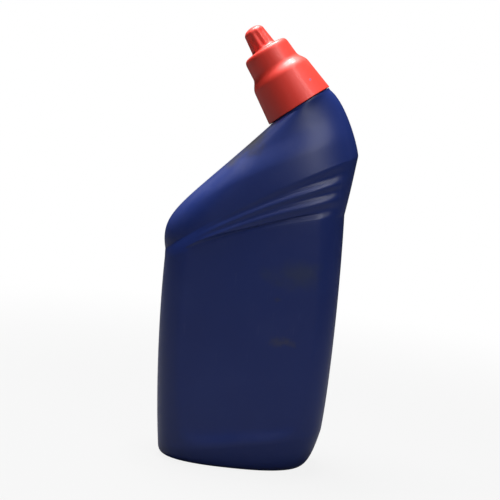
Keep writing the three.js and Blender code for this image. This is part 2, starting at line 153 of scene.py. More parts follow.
def rounded_profile(corners: list[tuple[float, float, float]], steps: int = 6) -> Array:
    """Profile of [radius, height] points through corners, each rounded by a quadratic curve.

    A corner (x, z, r) is replaced by the curve from r before it to r after it, with the corner as its
    control point. A corner with r 0 stays sharp.

    Args:
        corners: corner points and how far each is rounded.
        steps: stretches in one rounded corner.

    Returns:
        Array of points, one row each.
    """
    places = np.array([c[:2] for c in corners])
    rows = [places[:1]]
    t = np.linspace(0, 1, steps + 1)[:, None]
    for i in range(1, len(corners) - 1):
        here, reach = places[i], corners[i][2]
        if reach == 0:
            rows.append(here[None])
            continue
        back, ahead = places[i - 1] - here, places[i + 1] - here
        start = here + back * min(reach / np.linalg.norm(back), CORNER_SHARE)
        end = here + ahead * min(reach / np.linalg.norm(ahead), CORNER_SHARE)
        rows.append(start * (1 - t) ** 2 + 2 * here * t * (1 - t) + end * t**2)
    rows.append(places[-1:])
    return np.concatenate(rows)


def spread(profile: Array, spacing: float) -> Array:
    """Profile with extra points put evenly into every stretch that is longer than the spacing.

    Args:
        profile: points, one row each, which are all kept.
        spacing: longest stretch wanted.

    Returns:
        Array of points, one row each.
    """
    rows = []
    for start, end in zip(profile[:-1], profile[1:]):
        count = max(1, math.ceil(np.linalg.norm(end - start) / spacing))
        t = np.arange(count)[:, None] / count
        rows.append(start + (end - start) * t)
    rows.append(profile[-1:])
    return np.concatenate(rows)


def smooth_piece(name: str, points: Array, faces: list[list[int]]) -> Piece:
    """New smooth-shaded piece, linked to the scene.

    Args:
        name: name of the piece.
        points: its points in metres, one row each.
        faces: the numbers of each face's points, in order.

    Returns:
        The new object.
    """
    mesh = bpy.data.meshes.new(name)
    mesh.from_pydata(points.tolist(), [], faces)
    mesh.polygons.foreach_set("use_smooth", np.ones(len(mesh.polygons), bool))
    mesh.update()
    piece = bpy.data.objects.new(name, mesh)
    bpy.context.scene.collection.objects.link(piece)
    return piece


def skin_mesh(name: str, rings: Array, first: Array, last: Array) -> Piece:
    """Closed smooth mesh over a grid of rings, in metres, with its faces turned outwards.

    Args:
        name: name of the piece.
        rings: grid of points in millimetres, shape (rows, columns, 3), closed round each row.
        first: point that closes the first ring.
        last: point that closes the last ring.

    Returns:
        The new object, linked to the scene.
    """
    rows, columns = rings.shape[:2]
    points = np.concatenate([first[None], rings.reshape(-1, 3), last[None]]) * MM
    grid = 1 + np.arange(rows * columns).reshape(rows, columns)
    after = np.roll(grid, -1, axis=1)
    quads = np.stack([grid[:-1], after[:-1], after[1:], grid[1:]], axis=-1).reshape(-1, 4)
    end = np.full(columns, len(points) - 1)
    start_fan = np.stack([np.zeros(columns, int), after[0], grid[0]], axis=-1)
    end_fan = np.stack([end, grid[-1], after[-1]], axis=-1)
    volume = np.einsum("ij,ij->", points[quads[:, 0]], np.cross(points[quads[:, 1]], points[quads[:, 2]]))
    volume += np.einsum("ij,ij->", points[quads[:, 0]], np.cross(points[quads[:, 2]], points[quads[:, 3]]))
    if volume < 0:
        quads, start_fan, end_fan = quads[:, ::-1], start_fan[:, ::-1], end_fan[:, ::-1]
    return smooth_piece(name, points, [*start_fan.tolist(), *quads.tolist(), *end_fan.tolist()])


@dataclass
class NeckFrame:
    """The leaning frame of the neck. Heights are above the ledge under the cap."""

    lean: float = 38.0
    x: float = 14.45
    z: float = 182.4

    def matrix(self) -> tuple[Array, Array, Array]:
        """The neck's own directions.

        Returns:
            Centre of the ledge, the direction across the neck and the direction along it.
        """
        lean = math.radians(self.lean)
        centre = np.array([self.x, 0.0, self.z])
        side = np.array([math.cos(lean), 0.0, math.sin(lean)])
        axis = np.array([-math.sin(lean), 0.0, math.cos(lean)])
        return centre, side, axis

    def place(self, radius: Array, angle: Array, height: Array) -> Array:
        """Points about the neck's axis: centre + radius x (cos across + sin back) + height x axis.

        Args:
            radius: distances from the axis.
            angle: angles about the axis.
            height: heights above the ledge, broadcast together with the other two.

        Returns:
            Points in millimetres, in the broadcast shape with a last axis of 3.
        """
        centre, side, axis = self.matrix()
        radius, angle, height = np.broadcast_arrays(radius, angle, height)
        across = (radius * np.cos(angle))[..., None] * side
        deep = (radius * np.sin(angle))[..., None] * np.array([0.0, 1.0, 0.0])
        return centre + across + deep + height[..., None] * axis

    def lathe(self, name: str, profile: Array, columns: int, wave: Array | None = None) -> Piece:
        """Closed piece turned about the neck's axis from a profile that starts and ends near the axis.

        Each point is the profile's radius less the wave there, carried round a full turn.

        Args:
            name: name of the piece.
            profile: points of radius and height.
            columns: points round the axis.
            wave: depths taken off the radius, shape (rows, columns).

        Returns:
            The new object.
        """
        angle = np.arange(columns) * TURN / columns
        radius = profile[:, :1] - (0 if wave is None else wave)
        rings = self.place(radius, angle[None], profile[:, 1:])
        first, last = self.place(0.0, 0.0, profile[[0, -1], 1])
        return skin_mesh(name, rings, first, last)

    def torus(self, name: str, loop: Array, columns: int) -> Piece:
        """Ring-shaped piece: a closed loop of radius and height carried round the neck's axis.

        Args:
            name: name of the piece.
            loop: closed loop of points, its first point not repeated.
            columns: points round the axis.

        Returns:
            The new object, with no poles.
        """
        angle = np.arange(columns) * TURN / columns
        points = self.place(loop[:, :1], angle[None], loop[:, 1:]) * MM
        rows = len(loop)
        grid = np.arange(rows * columns).reshape(rows, columns)
        up, right = np.roll(grid, -1, axis=0), np.roll(grid, -1, axis=1)
        quads = np.stack([grid, right, np.roll(right, -1, axis=0), up], axis=-1).reshape(-1, 4)
        area = np.sum(loop[:, 0] * np.roll(loop[:, 1], -1) - np.roll(loop[:, 0], -1) * loop[:, 1])
        if area < 0:
            quads = quads[:, ::-1]
        return smooth_piece(name, points.reshape(-1, 3), quads.tolist())


class Finish(Protocol):
    """What every finish can do."""

    def material(self) -> bpy.types.Material:
        """Builds the finish's material."""


class SubAssembly:
    """Pieces that are built together and share one finish."""

    def dress(self, pieces: list[Piece], finish: Finish) -> None:
        """Gives every piece the same new material.

        Args:
            pieces: the pieces to dress.
            finish: the finish that makes the material.
        """
        material = finish.material()
        for piece in pieces:
            piece.data.materials.append(material)


@dataclass
class ScrewThread:
    """One right-hand thread ridge, on the outside of the neck or the inside of the cap."""

    neck: NeckFrame
    pitch: float = 4.0
    turns: float = 1.25
    rise: float = 1.1
    base: float = 2.2
    crest: float = 1.0
    run_out: float = 0.1
    sunk: float = 0.35
    end_share: float = 0.08
    shoulder: tuple[float, float] = (0.72, 0.45)
    columns: int = 96

    def build(self, name: str, wall: float, outwards: bool, start: float) -> Piece:
        """Ridge swept along a helix: a trapezoid with eased shoulders that fades to a share at both ends.

        The angle grows evenly with the turns and the height by one pitch a turn. A shoulder point stands at
        the first share of half the base sideways and at the second share of the rise.

        Args:
            name: name of the piece.
            wall: radius of the wall that it stands on.
            outwards: whether it stands outwards from the wall.
            start: height of its lower end above the ledge.

        Returns:
            The new object.
        """
        turns = np.linspace(0, self.turns, round(self.turns * self.columns) + 1)[:, None]
        ends = np.minimum(turns, self.turns - turns) / self.run_out
        rise = self.rise * (self.end_share + (1 - self.end_share) * smooth(ends, 0, 1))
        out, high = self.shoulder
        up = np.array([-1, -1, -out, 0, 0, out, 1, 1]) * self.base / 2
        up = up + np.array([0, 0, 0, -1, 1, 0, 0, 0]) * self.crest / 2
        stand = np.array([-self.sunk, 0, high, 1, 1, high, 0, -self.sunk])
        depth = np.where(stand[None] > 0, stand[None] * rise, stand[None])
        radius = wall + (depth if outwards else -depth)
        height = start + self.pitch * turns + up[None]
        rings = self.neck.place(radius, TURN * turns, height)
        return skin_mesh(name, rings, rings[0].mean(axis=0), rings[-1].mean(axis=0))


@dataclass
class Bottle(SubAssembly):
    """The blown bottle: foot, panelled body, gilled waist, bent shoulder and threaded neck."""

    neck: NeckFrame
    thread: ScrewThread
    width: float = 92.8
    panel_depth: float = 50.0
    panel_radius: float = 200.0
    panel_edge: float = 0.5
    panel_top: float = 2.2
    panel_lip: float = 0.12
    panel_foot: tuple[float, float] = (0.75, 1.1)
    lip_left: float = 1.3
    lip_spread: float = 0.55
    wall: float = 1.1
    push_up: float = 3.0
    standing_ring: float = 4.0
    push_up_slope: float = 5.0
    gills: int = 3
    gill_depth: float = 1.5
    gill_spread: float = 0.8
    gill_start: float = 0.2
    gill_growth: float = 0.65
    gill_end: float = 0.965
    gill_run_out: float = 0.08
    gill_wrap: float = 4.0
    bow_wrap: float = 1.5
    ledge_radius: float = 17.2
    ledge_round: float = 1.3
    ledge_left: float = 0.15
    neck_radius: float = 12.6
    bore: float = 10.9
    neck_height: float = 15.5
    chamfer: float = 0.5
    thread_start: float = 4.6
    base_steps: int = 9
    inner_inset: float = 0.4
    rows: tuple[int, int, int, int] = (28, 48, 22, 64)
    columns: int = 256
    left: list[tuple[float, float]] = field(default_factory=lambda: [
        (11.9, 0), (8.3, 0), (7.2, 2), (6.9, 5), (2.3, 39.5), (0.9, 78), (1.2, 100.4),
        (1.1, 102), (1.0, 103), (1.0, 104.5), (-3.9, 123.5), (7.3, 127.4)])
    right: list[tuple[float, float]] = field(default_factory=lambda: [
        (14.4, 0), (7.4, 0), (5.2, 12.9), (3.4, 21), (1.7, 39.8), (1.4, 89.8), (3.7, 130.8),
        (1.5, 146), (1.4, 148.2), (0, 160.5), (-0.1, 163.2), (8.2, 186.3)])
    half_depth: Pairs = field(default_factory=lambda: [
        (0, 19.5), (0.35, 23), (1, 26), (1.5, 27.6), (2, 26.4), (3, 25.3),
        (3.35, 24.3), (3.7, 20.2), (4, 17.2)])
    square_left: Pairs = field(default_factory=lambda: [
        (0, 2.4), (1, 2.9), (1.5, 2.75), (2, 2.9), (3, 2.7), (3.4, 2.3), (4, 2)])
    square_right: Pairs = field(default_factory=lambda: [
        (0, 2.4), (1, 2.9), (1.5, 2.8), (2, 2.8), (3, 2.4), (4, 2)])
    bow: Pairs = field(default_factory=lambda: [(0, 0), (1, 0), (2, 3.8), (3, 3.4), (4, 0)])

    def outline(self, side: Side, station: Array) -> Array:
        """Points of one outline: four cubic curves, one after each station but the last.

        Args:
            side: which outline.
            station: station numbers to read.

        Returns:
            Points of x and z in millimetres, one row for each number.
        """
        inset = self.left if side is Side.LEFT else self.right
        points = [(side * (self.width / 2 - x), z) for x, z in inset]
        dip = self.ledge_round * (self.ledge_left if side is Side.LEFT else 1.0)
        end = self.neck.place(side * self.ledge_radius, 0.0, -dip)
        points = np.array([*points, (end[0], end[2])])
        index = np.clip(station.astype(int), Station.FOOT, Station.GILL_TOP)
        result = np.zeros((len(station), 2))
        for i in range(Station.NECK):
            here = index == i
            result[here] = cubic(points[3 * i:3 * i + 4], station[here] - i)
        return result

    def panel_face(self, station: Array, reach: Array, from_left: Array) -> Array:
        """Half the depth over the label panels, less the square of the way sideways over twice the radius.

        Below the heel and above the lip the face moves out by a quarter of the depth, clear of the skin. To
        the left the lip grows longer and softer, and so it ends higher up.

        Args:
            station: station numbers, one for each row.
            reach: distances sideways from the middle, in millimetres.
            from_left: shares of the way from the left outline to the right one.

        Returns:
            Half depths in millimetres, in the shape of reach.
        """
        longer = (self.lip_left - self.panel_lip) * (1 - smooth(from_left, 0.0, self.lip_spread))
        above = (self.panel_top + longer - station[:, None]) / (self.panel_lip + longer)
        shown = smooth(station, *self.panel_foot)[:, None] * smooth(above, 0, 1)
        face = self.panel_depth / 2 - reach**2 / (2 * self.panel_radius)
        return face + self.panel_depth / 4 * (1 - shown)

    def gill_press(self, station: Array, from_left: Array) -> Array:
        """How far the gills are pressed in: a raised cosine up the waist, with one wave for each gill.

        It grows evenly from where the gills start at the left, and fades before the right edge.

        Args:
            station: station numbers, one for each row.
            from_left: shares of the way from the left outline to the right one.

        Returns:
            Depths in millimetres, in the shape of from_left.
        """
        rise = np.clip(station - Station.PANEL_TOP, 0, 1)
        waist = (station > Station.PANEL_TOP) & (station < Station.GILL_TOP)
        wave = (1 - np.cos(TURN * self.gills * rise**self.gill_spread)) / 2 * waist
        deepen = np.clip((from_left - self.gill_start) / self.gill_growth, 0, 1)
        run_out = np.clip((self.gill_end - from_left) / self.gill_run_out, 0, 1)
        return self.gill_depth * wave[:, None] * deepen * run_out

    def skin(self, station: Array, angle: Array) -> Array:
        """Outer skin of the body over a grid of stations and angles.

        The section at a station is a squared ellipse in polar form, radius = (|cos|^n + |sin|^n)^(-1/n), hung
        between the left and right outlines and bowed upwards at the front and back. Its depth is the rounded
        minimum of its own and the label panel's, less what the gills are pressed in. Gills and bow fade
        towards the sides, where the section has little depth.

        Args:
            station: station numbers, one for each row.
            angle: angles round the section, one for each column.

        Returns:
            Points in millimetres, shape (rows, columns, 3).
        """
        left, right = self.outline(Side.LEFT, station), self.outline(Side.RIGHT, station)
        middle, across = (left + right) / 2, (right - left) / 2
        half_width = np.linalg.norm(across, axis=1)
        across = across / half_width[:, None]
        cosine, sine = np.cos(angle)[None], np.sin(angle)[None]
        n_left, n_right = value_at(self.square_left, station), value_at(self.square_right, station)
        n = np.where(cosine < 0, n_left[:, None], n_right[:, None])
        radius = (np.abs(cosine) ** n + np.abs(sine) ** n) ** (-1 / n)
        x, y = radius * cosine, np.abs(radius * sine)
        reach = x * half_width[:, None]
        from_left = (x + 1) / 2
        own_depth = y * value_at(self.half_depth, station)[:, None]
        depth = soft_min(own_depth, self.panel_face(station, reach, from_left), self.panel_edge)
        depth = depth - self.gill_press(station, from_left) * np.minimum(self.gill_wrap * y, 1)
        arch = 4 * from_left * (1 - from_left)
        bow = value_at(self.bow, station)[:, None] * arch * np.minimum(self.bow_wrap * y, 1)
        return np.stack([
            middle[:, :1] + reach * across[:, :1] - bow * across[:, 1:],
            np.sign(np.round(sine, 12)) * depth,
            middle[:, 1:] + reach * across[:, 1:] + bow * across[:, :1],
        ], axis=-1)

    def inside(self, station: Array, angle: Array) -> Array:
        """Inner skin: the outer skin moved in by the wall along its normal, taken from small differences.

        Args:
            station: station numbers, one for each row.
            angle: angles round the section, one for each column.

        Returns:
            Points in millimetres, shape (rows, columns, 3).
        """
        step = 0.004
        above = np.minimum(station + step, Station.NECK)
        up = self.skin(above, angle) - self.skin(station - step, angle)
        along = self.skin(station, angle + step) - self.skin(station, angle - step)
        normal = np.cross(along, up)
        normal = normal / np.linalg.norm(normal, axis=-1, keepdims=True)
        return self.skin(station, angle) - self.wall * normal

    def base_rings(self, angle: Array, rows: list[tuple[float, float]]) -> Array:
        """Rings of the base: the foot's outline drawn in towards its middle.

        Args:
            angle: angles round the section, one for each column.
            rows: inset and height of each ring, in millimetres.

        Returns:
            Points in millimetres, shape (rows, columns, 3).
        """
        foot = np.array([float(Station.FOOT)])
        edge = self.skin(foot, angle)[0]
        ends = self.skin(foot, np.array([0, math.pi]))[0]
        middle = ends.mean(axis=0)
        out = edge - middle
        length = np.linalg.norm(out, axis=1, keepdims=True)
        rings = []
        for inset, height in rows:
            ring = middle + out * (length - inset) / length
            ring[:, 2] = height
            rings.append(ring)
        return np.array(rings)

    def stations(self) -> Array:
        """Stations of the rows, even in each stretch but spread over the waist as the gills are.

        Returns:
            Station numbers, rising.
        """
        foot, body, gill, shoulder = self.rows
        waist = np.linspace(0, 1, gill * self.gills, endpoint=False) ** (1 / self.gill_spread)
        return np.concatenate([
            np.linspace(Station.FOOT, Station.HEEL, foot, endpoint=False),
            np.linspace(Station.HEEL, Station.PANEL_TOP, body, endpoint=False),
            Station.PANEL_TOP + waist,
            np.linspace(Station.GILL_TOP, Station.NECK, shoulder),
        ])

    def build(self) -> list[Piece]:
        """Makes the shell, with its cavity, and the neck thread, and places them on the frame.

        The push-up rises from the standing ring by half a cosine wave. At the left the ledge dips less than
        at the right, by a cosine of the angle.

        Returns:
            The shell and the thread.
        """
        angle = np.arange(self.columns) * TURN / self.columns
        slope = np.linspace(0, 1, self.base_steps)[::-1]
        ring, span, lift = self.standing_ring, self.push_up_slope, self.push_up
        outer_base = [(ring + span * t, lift * (0.5 - 0.5 * math.cos(math.pi * t))) for t in slope]
        inner_base = [(inset + self.inner_inset, self.wall + height) for inset, height in outer_base[::-1]]
        neck_line = rounded_profile([
            (self.ledge_radius, -self.ledge_round, 0),
            (self.ledge_radius, 0, 0.4),
            (self.neck_radius, 0, 0.6),
            (self.neck_radius, self.neck_height, self.chamfer),
            (self.bore, self.neck_height, 0.3),
            (self.bore, -self.wall, 0),
        ])
        radius, height = neck_line[1:, :1], neck_line[1:, 1:]
        dip = self.ledge_left + (1 - self.ledge_left) * (1 + np.cos(angle[None])) / 2
        height = np.where((height < 0) & (radius > self.neck_radius), height * dip, height)
        neck_rings = self.neck.place(radius, angle[None], height)
        inside_rows = np.concatenate([
            np.linspace(3.98, Station.GILL_TOP, 14),
            np.linspace(2.97, Station.PANEL_TOP, 20),
            np.linspace(1.96, 0.3, 18),
        ])
        rings = np.concatenate([
            self.base_rings(angle, outer_base),
            self.skin(self.stations(), angle),
            neck_rings,
            self.inside(inside_rows, angle),
            self.base_rings(angle, inner_base),
        ])
        first, last = rings[0].mean(axis=0), rings[-1].mean(axis=0)
        shell = skin_mesh("bottle_shell", rings, first, last)
        ridge = self.thread.build("bottle_thread", self.neck_radius, True, self.thread_start)
        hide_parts("bottle")
        for piece in (shell, ridge):
            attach(piece, "bottle")
        return [shell, ridge]


@dataclass
class DropperPlug(SubAssembly):
    """The dropper plug in the neck: skirt, flange and hollow spout."""

    neck: NeckFrame
    skirt: float = 10.6
    wall: float = 1.0
    foot: float = 8.8
    flange: float = 12.6
    flange_bottom: float = 15.8
    flange_top: float = 17.0
    spout: float = 7.6
    waist: float = 3.9
    waist_height: float = 32.5
    tip: float = 2.6
    tip_height: float = 43.0
    outlet: float = 1.0
    columns: int = 96

    def build(self) -> list[Piece]:
        """Turns the plug's closed section about the neck's axis.

        Returns:
            The plug.
        """
        middle, mid_height = (self.spout + self.waist) / 2, (self.flange_top + self.waist_height) / 2
        inner = self.skirt - self.wall
        corners = [
            (inner, self.foot + 3, 0), (inner, self.foot, 0.3), (self.skirt - 0.5, self.foot, 0.3),
            (self.skirt, self.foot + 1, 0.4), (self.skirt, self.flange_bottom, 0.2),
            (self.flange, self.flange_bottom, 0.3), (self.flange, self.flange_top, 0.3),
            (self.spout, self.flange_top, 0.6), (self.spout * 0.86, self.flange_top + 1.6, 0.6),
            (middle, mid_height, 0.8), (self.waist, self.waist_height, 0.8),
            (self.tip, self.tip_height - 0.6, 0.5), (self.tip - 0.6, self.tip_height, 0.3),
            (self.outlet, self.tip_height, 0.3), (self.outlet, self.tip_height - 3, 0.4),
            (self.waist - self.wall, self.waist_height, 0.6), (middle - self.wall, mid_height - 0.5, 0.6),
            (self.spout - self.wall, self.flange_top, 0.5), (inner, self.flange_bottom, 0.5),
            (inner, self.foot + 3, 0),
        ]
        loop = rounded_profile(corners)[:-1]
        piece = self.neck.torus("dropper_plug", loop, self.columns)
        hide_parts("nozzle_insert")
        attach(piece, "bottle")
        return [piece]


@dataclass
class LinerRing(SubAssembly):
    """The foamed ring that the cap presses on the plug's flange."""

    neck: NeckFrame
    inside: float = 11.0
    outside: float = 13.8
    bottom: float = 17.3
    top: float = 18.3
    columns: int = 96

    def build(self) -> list[Piece]:
        """Turns the ring's section about the neck's axis.

        Returns:
            The ring.
        """
        middle = (self.inside + self.outside) / 2
        corners = [
            (middle, self.bottom, 0), (self.outside, self.bottom, 0.2), (self.outside, self.top, 0.2),
            (self.inside, self.top, 0.2), (self.inside, self.bottom, 0.2), (middle, self.bottom, 0),
        ]
        piece = self.neck.torus("sealing_liner", rounded_profile(corners)[:-1], self.columns)
        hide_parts("liner_ring")
        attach(piece, "liner")
        return [piece]


@dataclass
class ScrewCap(SubAssembly):
    """The red cap: skirt with a threaded sleeve inside, stepped shoulder, collar and fluted tip."""

    neck: NeckFrame
    thread: ScrewThread
    foot: float = 0.5
    skirt: float = 17.7
    skirt_top: float = 15.65
    skirt_height: float = 16.2
    skirt_wall: float = 1.3
    skirt_drop: float = 0.2
    sleeve_inside: float = 14.1
    sleeve_wall: float = 1.2
    sleeve_rise: float = 2.5
    pocket_top: float = 12.7
    shelf: float = 18.6
    collar: float = 12.6
    collar_top: float = 12.0
    collar_base: float = 22.8
    collar_height: float = 33.0
    collar_round: float = 2.6
    tip: float = 6.5
    tip_top: float = 5.4
    dome_base: float = 41.4
    height: float = 45.2
    wall: float = 1.3
    flutes: int = 10
    flute_depth: float = 0.45
    flute_start: tuple[float, float] = (0.0, 2.0)
    flute_end: tuple[float, float] = (-1.4, 2.4)
    rib_angle: float = -68.5
    thread_start: float = 2.6
    outer_spacing: float = 0.45
    inner_spacing: float = 1.2
    columns: int = 240

    def outside(self) -> Array:
        """Outer profile from the crown down to the skirt's edge: curves for dome, collar edge and shoulder.

        Returns:
            Points of radius and height above the cap's foot, one row each.
        """
        t = np.linspace(0, 1, 14)
        dome = cubic(np.array([
            (0.4, self.height), (self.tip_top * 0.72, self.height - 0.3),
            (self.tip_top, (self.height + self.dome_base) / 2 + 0.3), (self.tip_top, self.dome_base)]), t)
        collar_edge = cubic(np.array([
            (self.collar_top - self.collar_round, self.collar_height - 0.25),
            (self.collar_top - 0.9, self.collar_height - 0.35),
            (self.collar_top, self.collar_height - 1.2),
            (self.collar_top + 0.1, self.collar_height - self.collar_round - 1)]), t)
        shoulder = cubic(np.array([
            (self.collar, self.collar_base), (self.collar + 0.4, self.collar_base - 2.4),
            (self.skirt_top - 0.3, self.skirt_height + 3), (self.skirt_top, self.skirt_height)]), t)
        foot = rounded_profile([
            (self.skirt_top, self.skirt_height, 0), (self.skirt, -self.skirt_drop, 0.3),
            (self.skirt - self.skirt_wall, -self.skirt_drop, 0)])
        tip_foot = rounded_profile([
            (self.tip_top, self.dome_base, 0), (self.tip, self.collar_height, 1.2),
            (self.collar_top - self.collar_round, self.collar_height - 0.25, 0)])
        return np.concatenate([dome[:-1], tip_foot[:-1], collar_edge[:-1], shoulder[:-1], foot])

    def inner(self) -> Array:
        """Inner profile from the skirt's lower edge up to the inside of the tip.

        Returns:
            Points of radius and height above the ledge, one row each.
        """
        sleeve = self.sleeve_inside + self.sleeve_wall
        collar_top = self.foot + self.collar_height - self.wall
        bore = self.collar_top - self.wall
        crown = self.foot + self.height - self.wall
        return rounded_profile([
            (self.skirt - self.skirt_wall, self.foot - self.skirt_drop, 0),
            (sleeve + 0.6, self.pocket_top, 0.3), (sleeve, self.pocket_top, 0.2),
            (sleeve, self.foot + self.sleeve_rise, 0.3),
            (self.sleeve_inside, self.foot + self.sleeve_rise, 0.3), (self.sleeve_inside, self.shelf, 0.3),
            (bore, self.shelf, 0.3), (bore, collar_top, 1.4), (self.tip - self.wall, collar_top, 0.5),
            (self.tip - self.wall - 0.2, self.collar_height + 1.5, 0.5),
            (self.tip_top - self.wall, self.foot + self.dome_base - 0.4, 1.5), (0.4, crown, 0)])

    def build(self) -> list[Piece]:
        """Makes the cap's shell, with flutes in its tip, and its inside thread.

        A flute is a raised cosine round the tip, (1 - cos(flutes x angle)) / 2, that fades with a smooth
        step at the collar and under the dome.

        Returns:
            The shell and the thread.
        """
        outside = spread(self.outside(), self.outer_spacing) + np.array([0, self.foot])
        inner = spread(self.inner(), self.inner_spacing)
        profile = np.concatenate([outside[:-1], inner])
        angle = np.arange(self.columns) * TURN / self.columns
        height = profile[:, 1:] - self.foot
        start = [self.collar_height + step for step in self.flute_start]
        end = [self.dome_base + step for step in self.flute_end]
        shows = smooth(height, *start) * (1 - smooth(height, *end))
        shows[len(outside) - 1:] = 0
        turn = self.flutes * (angle - math.radians(self.rib_angle))
        wave = self.flute_depth * shows * ((1 - np.cos(turn)) / 2)[None]
        shell = self.neck.lathe("screw_cap", profile, self.columns, wave)
        ridge = self.thread.build("cap_thread", self.sleeve_inside, False, self.thread_start)
        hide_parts("cap")
        for piece in (shell, ridge):
            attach(piece, "cap")
        return [shell, ridge]


class Graph:
    """Short calls for making and joining shader nodes in one tree."""

    def __init__(self, tree: bpy.types.NodeTree) -> None:
        """Keeps the tree that the nodes go into."""
        self.tree = tree

    def node(self, kind: str, **values: object) -> bpy.types.Node:
        """Makes a node.

        Args:
            kind: type of the node.
            values: its own properties by name.

        Returns:
            The new node.
        """
        node = self.tree.nodes.new(kind)
        for name, value in values.items():
            setattr(node, name, value)
        return node

    def feed(self, socket: NodeSocket, value: object) -> None:
        """Links an output to an input, or sets the input's value.

        Args:
            socket: the input.
            value: an output socket, or a plain value.
        """
        if isinstance(value, NodeSocket):
            self.tree.links.new(value, socket)
        else:
            socket.default_value = value

    def math(self, operation: str, *inputs: object) -> NodeSocket:
        """Result of a math node.

        Args:
            operation: what it works out.
            inputs: one to three sockets or numbers.

        Returns:
            Its output.
        """
        node = self.node("ShaderNodeMath", operation=operation)
        for socket, value in zip(node.inputs, inputs):
            self.feed(socket, value)
        return node.outputs[0]

    def vector(self, operation: str, *inputs: object, output: str = "Vector") -> NodeSocket:
        """Result of a vector math node.

        Args:
            operation: what it works out.
            inputs: sockets or vectors.
            output: name of the output wanted.

        Returns:
            That output.
        """
        node = self.node("ShaderNodeVectorMath", operation=operation)
        for socket, value in zip(node.inputs, inputs):
            self.feed(socket, value)
        return node.outputs[output]

    def mix(self, factor: object, first: object, second: object) -> NodeSocket:
        """Mixes two colours.

        Args:
            factor: share of the second colour.
            first: first colour.
            second: second colour.

        Returns:
            The mixed colour.
        """
        node = self.node("ShaderNodeMix", data_type="RGBA")
        self.feed(node.inputs["Factor"], factor)
        self.feed(node.inputs[6], first)
        self.feed(node.inputs[7], second)
        return node.outputs[2]

    def ramp(
        self, value: object, low: float, high: float, to_low: float = 0.0, to_high: float = 1.0,
    ) -> NodeSocket:
        """Value carried by a smooth step from one range to another.

        Args:
            value: the value.
            low: start of its range.
            high: end of its range.
            to_low: result at the start.
            to_high: result at the end.

        Returns:
            The result.
        """
        node = self.node("ShaderNodeMapRange", interpolation_type="SMOOTHSTEP")
        limits = {"From Min": low, "From Max": high, "To Min": to_low, "To Max": to_high}
        for name, number in limits.items():
            node.inputs[name].default_value = number
        self.feed(node.inputs["Value"], value)
        return node.outputs["Result"]

    def noise(self, place: object, scale: object, detail: float, roughness: float = 0.5) -> NodeSocket:
        """Value of a noise texture.

        Args:
            place: coordinates to read it at.
            scale: how fine it is.
            detail: how many finer layers it has.
            roughness: how strong those are.

        Returns:
            The value, about 0.5 on average.
        """
        node = self.node("ShaderNodeTexNoise")
        self.feed(node.inputs["Vector"], place)
        self.feed(node.inputs["Scale"], scale)
        node.inputs["Detail"].default_value = detail
        node.inputs["Roughness"].default_value = roughness
        return node.outputs["Fac"]

    def here(self) -> NodeSocket:
        """The piece's own coordinates, in metres."""
        return self.node("ShaderNodeTexCoord").outputs["Object"]

    def group(self, tree: bpy.types.NodeTree, **inputs: object) -> dict[str, NodeSocket]:
        """Places a shader group in this tree.

        Args:
            tree: the group.
            inputs: its inputs by name, with an underscore for each blank.

        Returns:
            Its outputs by name.
        """
        node = self.node("ShaderNodeGroup", node_tree=tree)
        for name, value in inputs.items():
            self.feed(node.inputs[name.replace("_", " ")], value)
        return {socket.name: socket for socket in node.outputs}


